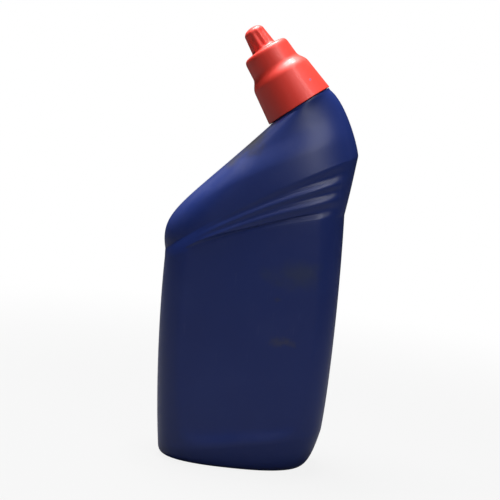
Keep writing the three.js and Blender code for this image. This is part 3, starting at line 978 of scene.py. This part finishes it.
class Effects:
    """Shader groups that more than one finish uses, each built once."""

    def __init__(self) -> None:
        """Builds every group."""
        self.grain = self._grain()
        self.patch = self._patch()
        self.wear = self._wear()

    @staticmethod
    def _start(
        name: str, inputs: dict[str, tuple[Socket, object]], outputs: dict[str, Socket],
    ) -> tuple[Graph, dict[str, NodeSocket], bpy.types.Node]:
        """New group with named sockets.

        Args:
            name: name of the group.
            inputs: kind and first value of each input.
            outputs: kind of each output.

        Returns:
            Its graph, its input sockets by name, and its output node.
        """
        tree = bpy.data.node_groups.new(name, "ShaderNodeTree")
        for label, (kind, value) in inputs.items():
            socket = tree.interface.new_socket(label, in_out="INPUT", socket_type=kind.value)
            socket.default_value = value
        for label, kind in outputs.items():
            tree.interface.new_socket(label, in_out="OUTPUT", socket_type=kind.value)
        graph = Graph(tree)
        source = graph.node("NodeGroupInput")
        return graph, {s.name: s for s in source.outputs}, graph.node("NodeGroupOutput")

    def _grain(self) -> bpy.types.NodeTree:
        """Moulded skin: a fine orange peel over a slower ripple, as a height, and a cloudy tone.

        Returns:
            The group.
        """
        graph, source, sink = self._start(
            "moulded_grain",
            {"Fine Scale": (Socket.FLOAT, 900.0), "Slow Scale": (Socket.FLOAT, 60.0)},
            {"Height": Socket.FLOAT, "Tone": Socket.FLOAT},
        )
        here = graph.here()
        fine_share, cloud_scale = 0.25, 28.0
        fine = graph.noise(here, source["Fine Scale"], detail=2.0)
        slow = graph.noise(here, source["Slow Scale"], detail=2.0, roughness=0.4)
        fine = graph.math("MULTIPLY", fine, fine_share)
        slow = graph.math("MULTIPLY", slow, 1 - fine_share)
        graph.feed(sink.inputs["Height"], graph.math("ADD", fine, slow))
        graph.feed(sink.inputs["Tone"], graph.noise(here, cloud_scale, detail=3.0, roughness=0.55))
        return graph.tree

    def _patch(self) -> bpy.types.NodeTree:
        """Soft patch at a place, for a dirt mark or for painted shade: 1 at its centre, falling to 0 at its
        reach, broken up by noise.

        Returns:
            The group.
        """
        graph, source, sink = self._start(
            "soft_patch",
            {"Centre": (Socket.VECTOR, (0, 0, 0)), "Reach": (Socket.VECTOR, (0.01, 0.01, 0.01)),
             "Break Up": (Socket.FLOAT, 0.5), "Break Scale": (Socket.FLOAT, 180.0)},
            {"Mask": Socket.FLOAT},
        )
        here = graph.here()
        offset = graph.vector("DIVIDE", graph.vector("SUBTRACT", here, source["Centre"]), source["Reach"])
        far = graph.vector("LENGTH", offset, output="Value")
        ragged = graph.noise(here, source["Break Scale"], detail=4.0, roughness=0.6)
        either_way = graph.math("MULTIPLY", graph.math("SUBTRACT", ragged, 0.5), 2.0)
        far = graph.math("ADD", far, graph.math("MULTIPLY", either_way, source["Break Up"]))
        graph.feed(sink.inputs["Mask"], graph.ramp(graph.math("SUBTRACT", 1.0, far), 0.0, 1.0))
        return graph.tree

    def _wear(self) -> bpy.types.NodeTree:
        """Handling marks: fine scratches drawn out upwards, and faint rubbed clouds.

        Returns:
            The group.
        """
        graph, source, sink = self._start(
            "handling_wear",
            {"Stretch": (Socket.VECTOR, (1.0, 1.0, 0.12)), "Scale": (Socket.FLOAT, 420.0)},
            {"Scratches": Socket.FLOAT, "Rubbed": Socket.FLOAT},
        )
        here = graph.here()
        drawn = graph.vector("MULTIPLY", here, source["Stretch"])
        lines = graph.noise(drawn, source["Scale"], detail=2.0, roughness=0.7)
        clouds = graph.noise(here, 45.0, detail=5.0, roughness=0.65)
        graph.feed(sink.inputs["Scratches"], graph.ramp(lines, low=0.66, high=0.76))
        graph.feed(sink.inputs["Rubbed"], graph.ramp(clouds, low=0.48, high=0.72))
        return graph.tree


def start_material(name: str) -> tuple[bpy.types.Material, Graph, bpy.types.Node]:
    """New material with nodes.

    Args:
        name: name of the material.

    Returns:
        The material, its graph and its Principled shader.
    """
    material = bpy.data.materials.new(name)
    material.use_nodes = True
    graph = Graph(material.node_tree)
    return material, graph, material.node_tree.nodes["Principled BSDF"]


def add_bump(graph: Graph, shader: bpy.types.Node, height: NodeSocket, strength: float, reach: float) -> None:
    """Feeds a shader's normal from a height.

    Args:
        graph: graph of the material.
        shader: its shader.
        height: the height.
        strength: share of the bump that shows.
        reach: size of a height of 1, in metres.
    """
    bump = graph.node("ShaderNodeBump")
    bump.inputs["Strength"].default_value = strength
    bump.inputs["Distance"].default_value = reach
    graph.feed(bump.inputs["Height"], height)
    graph.feed(shader.inputs["Normal"], bump.outputs["Normal"])


def seen_directly(graph: Graph) -> NodeSocket:
    """1 where the camera looks straight or through clear things, and 0 for all other light paths."""
    path = graph.node("ShaderNodeLightPath")
    return graph.math("MAXIMUM", path.outputs["Is Camera Ray"], path.outputs["Is Transmission Ray"])


@dataclass(frozen=True)
class Handling:
    """Marks of handling: their tone, how strongly scratches and clouds show, and how much clouds roughen."""

    rubbed: tuple[int, int, int]
    scale: float
    scratches: float
    clouds: float
    roughness: float

    def lay(
        self, graph: Graph, effects: Effects, colour: NodeSocket, rough: float,
    ) -> tuple[NodeSocket, NodeSocket]:
        """Mixes the rubbed tone in where the marks are, and roughens the clouds.

        Args:
            graph: graph of the material.
            effects: the shader groups.
            colour: colour so far.
            rough: roughness so far.

        Returns:
            The new colour and roughness.
        """
        wear = graph.group(effects.wear, Scale=self.scale)
        scratches = graph.math("MULTIPLY", wear["Scratches"], self.scratches)
        marks = graph.math("ADD", scratches, graph.math("MULTIPLY", wear["Rubbed"], self.clouds))
        rougher = graph.math("MULTIPLY", wear["Rubbed"], self.roughness)
        return graph.mix(marks, colour, srgb(*self.rubbed)), graph.math("ADD", rough, rougher)


@dataclass(frozen=True)
class StainOrPaintedShade:
    """One patch of colour on a surface, a real dirt mark or a patch of painted shade: where it is in
    millimetres, how far it reaches, and its look.
    """

    centre: tuple[float, float, float]
    reach: tuple[float, float, float]
    colour: tuple[int, int, int]
    strength: float
    roughness: float = 0.1
    break_up: float = 0.5
    break_scale: float = 180.0

    def lay(
        self, graph: Graph, effects: Effects, colour: NodeSocket, rough: NodeSocket,
    ) -> tuple[NodeSocket, NodeSocket]:
        """Mixes the patch's colour in, dirt or painted shade, and adds its roughness, by its soft patch.

        Args:
            graph: graph of the material.
            effects: the shader groups.
            colour: colour so far.
            rough: roughness so far.

        Returns:
            The new colour and roughness.
        """
        mask = graph.group(
            effects.patch,
            Centre=tuple(v * MM for v in self.centre),
            Reach=tuple(v * MM for v in self.reach),
            Break_Up=self.break_up,
            Break_Scale=self.break_scale,
        )["Mask"]
        mask = graph.math("MULTIPLY", mask, self.strength)
        rougher = graph.math("MULTIPLY", mask, self.roughness)
        return graph.mix(mask, colour, srgb(*self.colour)), graph.math("ADD", rough, rougher)


@dataclass(frozen=True)
class BottlePlastic:
    """Deep blue blown plastic, satin, with a parting line, handling marks, smudges and scuffs of use, and
    painted shade in two dark patches on the shoulder by the cap.
    """

    effects: Effects
    colour: tuple[int, int, int] = (21, 40, 101)
    cloudy: tuple[int, int, int] = (18, 34, 91)
    roughness: float = 0.4
    ior: float = 1.46
    specular: float = 0.46
    fine_scale: float = 1100.0
    slow_scale: float = 70.0
    bump_strength: float = 0.35
    bump_reach: float = 0.00012
    seam_half_width: float = 0.00028
    seam_height: float = 1.6
    handling: Handling = Handling((48, 58, 108), scale=380.0, scratches=0.25, clouds=0.10, roughness=0.07)
    stains_and_painted_shade: tuple[StainOrPaintedShade, ...] = (
        # The first two patches are painted shade, partly a dull brownish patch: dark colour on the shoulder
        # next to the cap that takes down the lamps' sheen there. The other three are smudges and scuffs on
        # the front.
        StainOrPaintedShade((-7.5, -9.0, 161.5), (16.0, 20.0, 12.0), (30, 30, 36), 1.0, 0.05),
        StainOrPaintedShade((-17.0, -13.0, 152.0), (9.0, 11.0, 6.0), (44, 44, 54), 0.8, 0.05),
        StainOrPaintedShade((20.0, -23.5, 100.5), (21.0, 7.0, 8.5), (44, 52, 62), 0.45, 0.15, 0.7, 110.0),
        StainOrPaintedShade((13.0, -24.8, 87.3), (2.6, 4.0, 1.6), (40, 44, 66), 0.5, 0.12, 0.9, 420.0),
        StainOrPaintedShade((18.0, -24.0, 66.5), (10.0, 5.0, 3.2), (56, 56, 68), 0.6, 0.14, 0.9, 300.0),
    )

    def seam(self, graph: Graph) -> NodeSocket:
        """Height of the parting line, which runs round the bottle where y is 0.

        Args:
            graph: graph of the material.

        Returns:
            The height, falling to 0 at the line's half width.
        """
        place = graph.node("ShaderNodeSeparateXYZ")
        graph.feed(place.inputs[0], graph.here())
        off = graph.math("ABSOLUTE", place.outputs["Y"])
        return graph.ramp(off, 0.0, self.seam_half_width, to_low=self.seam_height, to_high=0.0)

    def material(self) -> bpy.types.Material:
        """Builds the shader: cloudy blue, rubbed paler in clouds and scratches, smudged, darkened by painted
        shade on the shoulder by the cap, bumped by grain.

        Returns:
            The material.
        """
        material, graph, shader = start_material("bottle_plastic")
        grain = graph.group(self.effects.grain, Fine_Scale=self.fine_scale, Slow_Scale=self.slow_scale)
        colour = graph.mix(grain["Tone"], srgb(*self.colour), srgb(*self.cloudy))
        colour, rough = self.handling.lay(graph, self.effects, colour, self.roughness)
        for stain_or_shade in self.stains_and_painted_shade:
            colour, rough = stain_or_shade.lay(graph, self.effects, colour, rough)
        graph.feed(shader.inputs["Base Color"], colour)
        graph.feed(shader.inputs["Roughness"], rough)
        height = graph.math("ADD", grain["Height"], self.seam(graph))
        add_bump(graph, shader, height, self.bump_strength, self.bump_reach)
        shader.inputs["IOR"].default_value = self.ior
        shader.inputs["Specular IOR Level"].default_value = self.specular
        return material


@dataclass(frozen=True)
class CapPlastic:
    """Red moulded plastic under a thin gloss, a little scuffed, with a speck on its shoulder."""

    effects: Effects
    colour: tuple[int, int, int] = (220, 54, 40)
    cloudy: tuple[int, int, int] = (208, 47, 35)
    roughness: float = 0.5
    gloss: float = 0.1
    gloss_roughness: float = 0.08
    ior: float = 1.5
    fine_scale: float = 1500.0
    slow_scale: float = 160.0
    bump_strength: float = 0.3
    bump_reach: float = 0.00008
    handling: Handling = Handling((222, 104, 92), scale=620.0, scratches=0.18, clouds=0.10, roughness=0.08)
    speck: StainOrPaintedShade = StainOrPaintedShade((17.9, -13.3, 195.2), (0.9, 2.0, 0.9), (96, 92, 128), 0.9, 0.1, 0.3, 700.0)

    def material(self) -> bpy.types.Material:
        """Builds the shader: cloudy red with rubbed clouds, scratches and the speck, bumped by fine grain.

        Returns:
            The material.
        """
        material, graph, shader = start_material("cap_plastic")
        grain = graph.group(self.effects.grain, Fine_Scale=self.fine_scale, Slow_Scale=self.slow_scale)
        colour = graph.mix(grain["Tone"], srgb(*self.colour), srgb(*self.cloudy))
        colour, rough = self.handling.lay(graph, self.effects, colour, self.roughness)
        colour, rough = self.speck.lay(graph, self.effects, colour, rough)
        graph.feed(shader.inputs["Base Color"], colour)
        graph.feed(shader.inputs["Roughness"], rough)
        add_bump(graph, shader, grain["Height"], self.bump_strength, self.bump_reach)
        shader.inputs["IOR"].default_value = self.ior
        shader.inputs["Coat Weight"].default_value = self.gloss
        shader.inputs["Coat Roughness"].default_value = self.gloss_roughness
        return material


@dataclass(frozen=True)
class PlainPlastic:
    """Pale plain plastic or foam of the hidden pieces."""

    effects: Effects
    name: str
    colour: tuple[int, int, int]
    cloudy: tuple[int, int, int]
    roughness: float
    fine_scale: float = 1200.0
    slow_scale: float = 200.0
    bump_strength: float = 0.4
    bump_reach: float = 0.0001

    def material(self) -> bpy.types.Material:
        """Builds the shader: two close tones mixed by the grain's clouds, over a fine bump.

        Returns:
            The material.
        """
        material, graph, shader = start_material(self.name)
        grain = graph.group(self.effects.grain, Fine_Scale=self.fine_scale, Slow_Scale=self.slow_scale)
        colour = graph.mix(grain["Tone"], srgb(*self.colour), srgb(*self.cloudy))
        graph.feed(shader.inputs["Base Color"], colour)
        add_bump(graph, shader, grain["Height"], self.bump_strength, self.bump_reach)
        shader.inputs["Roughness"].default_value = self.roughness
        return material


@dataclass
class Lamp:
    """One soft oblong lamp, aimed at the bottle."""

    name: str
    place: tuple[float, float, float]
    size: tuple[float, float]
    power: float
    aim: tuple[float, float, float] = (0.0, 0.0, 0.11)

    def build(self) -> None:
        """Makes the area lamp and turns it to its aim."""
        data = bpy.data.lights.new(self.name, "AREA")
        data.shape = "RECTANGLE"
        data.size, data.size_y = self.size
        data.energy = self.power
        lamp = bpy.data.objects.new(self.name, data)
        lamp.location = self.place
        lamp.rotation_euler = (Vector(self.aim) - Vector(self.place)).to_track_quat("-Z", "Y").to_euler()
        bpy.context.scene.collection.objects.link(lamp)


@dataclass
class Studio:
    """Camera at the photograph's angle, pale floor and soft lamps."""

    camera_place: tuple[float, float, float] = (0.0, -0.520, 0.157)
    camera_aim: tuple[float, float, float] = (-0.0027, 0.0, 0.1078)
    camera_roll: float = 6.0
    lens: float = 74.0
    sensor: float = 36.0
    clip: tuple[float, float] = (0.01, 20.0)
    floor_size: float = 2.0
    world_strength: float = 0.035
    floor_near: float = 0.16
    floor_far: float = 0.6
    floor_glow: float = 0.87
    floor_grey: float = 0.15
    floor_roughness: float = 0.9
    lamps: list[Lamp] = field(default_factory=lambda: [
        Lamp("key_lamp", (0.36, -0.46, 0.85), (0.18, 0.5), 2.8),
        Lamp("low_key_lamp", (0.33, -0.64, 0.5), (0.14, 0.3), 1.3),
        Lamp("front_lamp", (-0.38, -0.95, 0.25), (0.2, 0.6), 0.22),
        Lamp("glint_lamp", (0.06, 0.073, 1.15), (0.06, 0.04), 3.0),
        Lamp("left_lamp", (-0.95, -0.1, 0.75), (0.3, 0.5), 0.1),
        Lamp("right_lamp", (0.95, 0.1, 0.45), (0.2, 0.6), 0.1),
        Lamp("top_lamp", (-0.14, 0.1, 0.95), (0.5, 0.5), 23.0),
        Lamp("back_lamp", (-0.7, 1.0, 0.95), (0.8, 0.7), 1.0),
    ])

    def camera(self) -> None:
        """Places the camera, rolled about its own axis, and makes it the scene's."""
        data = bpy.data.cameras.new("camera")
        data.sensor_fit = "HORIZONTAL"
        data.sensor_width = self.sensor
        data.lens = self.lens
        data.clip_start, data.clip_end = self.clip
        camera = bpy.data.objects.new("camera", data)
        bpy.context.scene.collection.objects.link(camera)
        place, aim = Vector(self.camera_place), Vector(self.camera_aim)
        turn = (aim - place).to_track_quat("-Z", "Y").to_matrix().to_4x4()
        roll = Matrix.Rotation(math.radians(self.camera_roll), 4, "Z")
        camera.matrix_world = Matrix.Translation(place) @ turn @ roll
        bpy.context.scene.camera = camera

    def floor(self) -> None:
        """Lays the floor: a grey sheet to the light, which glows to the camera and is all white far off."""
        half = self.floor_size / 2
        mesh = bpy.data.meshes.new("floor")
        corners = [(-half, -half, 0), (half, -half, 0), (half, half, 0), (-half, half, 0)]
        mesh.from_pydata(corners, [], [(0, 1, 2, 3)])
        floor = bpy.data.objects.new("floor", mesh)
        bpy.context.scene.collection.objects.link(floor)
        material, graph, shader = start_material("floor_paper")
        shader.inputs["Base Color"].default_value = (self.floor_grey, self.floor_grey, self.floor_grey, 1)
        shader.inputs["Roughness"].default_value = self.floor_roughness
        glow = graph.node("ShaderNodeEmission")
        far = graph.vector("LENGTH", graph.here(), output="Value")
        share = graph.ramp(far, self.floor_near, self.floor_far, self.floor_glow, 1.0)
        blend = graph.node("ShaderNodeMixShader")
        graph.feed(blend.inputs["Fac"], graph.math("MULTIPLY", share, seen_directly(graph)))
        graph.feed(blend.inputs[1], shader.outputs["BSDF"])
        graph.feed(blend.inputs[2], glow.outputs["Emission"])
        out = material.node_tree.nodes["Material Output"]
        graph.feed(out.inputs["Surface"], blend.outputs["Shader"])
        mesh.materials.append(material)

    def world(self) -> None:
        """Lights the scene evenly and shows white behind it."""
        world = bpy.data.worlds.new("studio")
        bpy.context.scene.world = world
        world.use_nodes = True
        graph = Graph(world.node_tree)
        back = world.node_tree.nodes["Background"]
        more = graph.math("MULTIPLY", seen_directly(graph), 1 - self.world_strength)
        graph.feed(back.inputs["Strength"], graph.math("ADD", self.world_strength, more))
        back.inputs["Color"].default_value = (1, 1, 1, 1)

    def build(self) -> None:
        """Sets up the camera, floor, world and lamps."""
        self.camera()
        self.floor()
        self.world()
        for lamp in self.lamps:
            lamp.build()
        bpy.context.scene.view_settings.view_transform = "Standard"


def main() -> None:
    """Builds the studio and every sub-assembly in order, dresses them and reports each piece."""
    logging.basicConfig(level=logging.INFO, format="%(message)s")
    Studio().build()
    effects = Effects()
    neck = NeckFrame()
    thread = ScrewThread(neck)
    plug_finish = PlainPlastic(
        effects, "plug_plastic", colour=(233, 235, 228), cloudy=(225, 228, 220), roughness=0.45)
    liner_finish = PlainPlastic(
        effects, "liner_foam", colour=(243, 243, 238), cloudy=(232, 232, 226), roughness=0.9,
        fine_scale=2400.0)
    assemblies = [
        (Bottle(neck, thread), BottlePlastic(effects)),
        (DropperPlug(neck), plug_finish),
        (LinerRing(neck), liner_finish),
        (ScrewCap(neck, thread), CapPlastic(effects)),
    ]
    for assembly, finish in assemblies:
        pieces = assembly.build()
        assembly.dress(pieces, finish)
        for piece in pieces:
            LOG.info("%s: %d faces", piece.name, len(piece.data.polygons))


if __name__ == "__main__":
    main()
